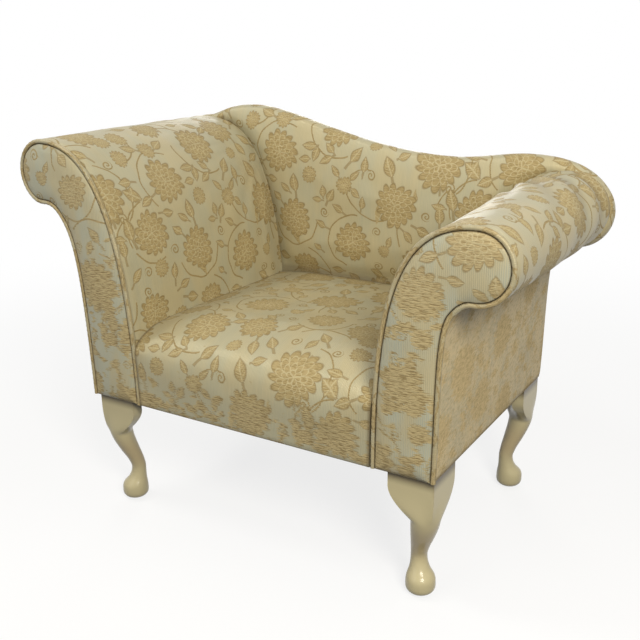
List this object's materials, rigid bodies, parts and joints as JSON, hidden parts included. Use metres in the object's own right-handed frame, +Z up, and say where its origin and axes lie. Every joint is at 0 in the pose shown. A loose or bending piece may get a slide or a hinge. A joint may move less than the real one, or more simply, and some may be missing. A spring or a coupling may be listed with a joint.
{
  "type": "armchair",
  "caption": "Upholstered armchair with rolled scroll arms of unlike height, piped arm facings, a serpentine back, a sprung tight seat and painted cabriole legs.",
  "frame": {"origin": "on the floor under the middle of the chair's bounding box", "axes": "+X along the width towards the low arm, +Y from the front to the back, +Z up"},
  "size_m": [1.1034, 0.582, 0.8397],
  "materials": {
    "damask": "silvery sage and beige-gold floral damask with fine upright ribs and a satin sheen",
    "facing_damask": "the same floral damask on the arm facings and the piping",
    "cream_paint": "cream gloss paint on wood",
    "hardwood": "plain sawn hardwood",
    "spring_steel": "drawn spring wire",
    "zinc_steel": "zinc-plated steel",
    "hessian": "coarse woven hessian and webbing",
    "lining_cloth": "black lining cloth"
  },
  "bodies": {
    "root": {"arm_liner_left": "hessian", "arm_liner_right": "hessian", "arm_padding_left": "damask", "arm_padding_right": "damask", "arm_tack_rail_left": "hardwood", "arm_tack_rail_right": "hardwood", "arm_top_rail_left": "hardwood", "arm_top_rail_right": "hardwood", "back_padding": "damask", "back_post_left": "hardwood", "back_post_right": "hardwood", "back_tack_rail": "hardwood", "back_top_rail": "hardwood", "back_upright": "hardwood", "back_webbing_1": "hessian", "back_webbing_2": "hessian", "back_webbing_3": "hessian", "back_webbing_4": "hessian", "cabriole_leg_front_left": "cream_paint", "cabriole_leg_front_right": "cream_paint", "cabriole_leg_rear_left": "cream_paint", "cabriole_leg_rear_right": "cream_paint", "corner_block_front_left": "hardwood", "corner_block_front_right": "hardwood", "corner_block_rear_left": "hardwood", "corner_block_rear_right": "hardwood", "dust_cover": "lining_cloth", "facing_piping_left": "facing_damask", "facing_piping_right": "facing_damask", "foot_glide_front_left": "zinc_steel", "foot_glide_front_right": "zinc_steel", "foot_glide_rear_left": "zinc_steel", "foot_glide_rear_right": "zinc_steel", "front_facing_left": "facing_damask", "front_facing_right": "facing_damask", "front_scroll_board_left": "hardwood", "front_scroll_board_right": "hardwood", "front_seat_rail": "hardwood", "leg_bolt_front_left": "zinc_steel", "leg_bolt_front_right": "zinc_steel", "leg_bolt_rear_left": "zinc_steel", "leg_bolt_rear_right": "zinc_steel", "outside_arm_left": "damask", "outside_arm_right": "damask", "outside_back": "damask", "rear_scroll_board_left": "hardwood", "rear_scroll_board_right": "hardwood", "rear_seat_rail": "hardwood", "seat_padding": "damask", "seat_spring_1": "spring_steel", "seat_spring_2": "spring_steel", "seat_spring_3": "spring_steel", "seat_spring_4": "spring_steel", "seat_spring_5": "spring_steel", "side_seat_rail_left": "hardwood", "side_seat_rail_right": "hardwood", "spring_cover": "hessian"}
  },
  "joints": []
}
